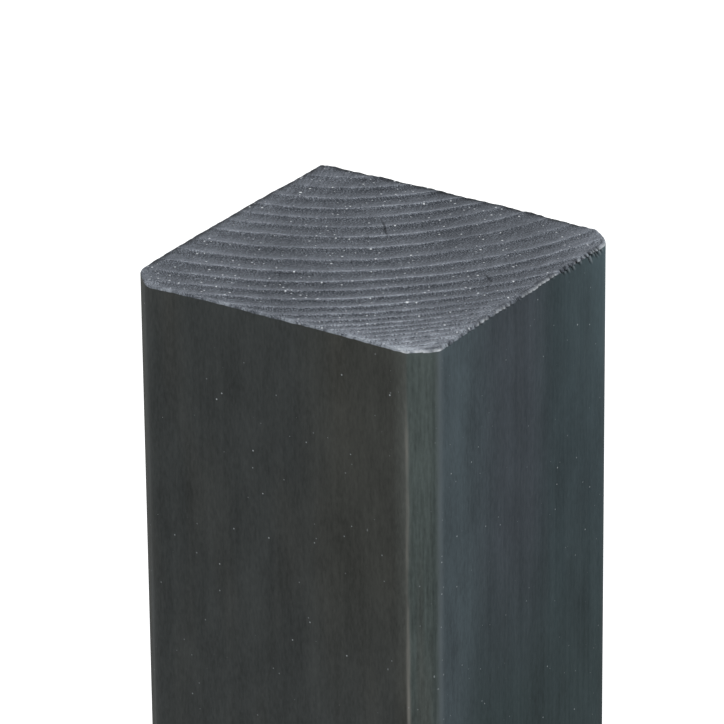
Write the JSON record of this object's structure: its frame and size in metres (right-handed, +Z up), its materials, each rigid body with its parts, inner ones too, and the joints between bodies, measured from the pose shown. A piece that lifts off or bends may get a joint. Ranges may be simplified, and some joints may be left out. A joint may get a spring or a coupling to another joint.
{
  "type": "fence post",
  "caption": "Planed square softwood fence post with chamfered corners and a flat sawn top that shows its growth rings, stained dark grey.",
  "frame": {"origin": "middle of the sawn foot, where the post stands", "axes": "+Z up along the post to its sawn top, -Y out of the front face, +X out of the right face"},
  "size_m": [0.068, 0.068, 1.8],
  "materials": {
    "stained_timber": "matt dark grey wood stain"
  },
  "bodies": {
    "root": {"post": "stained_timber"}
  },
  "joints": []
}
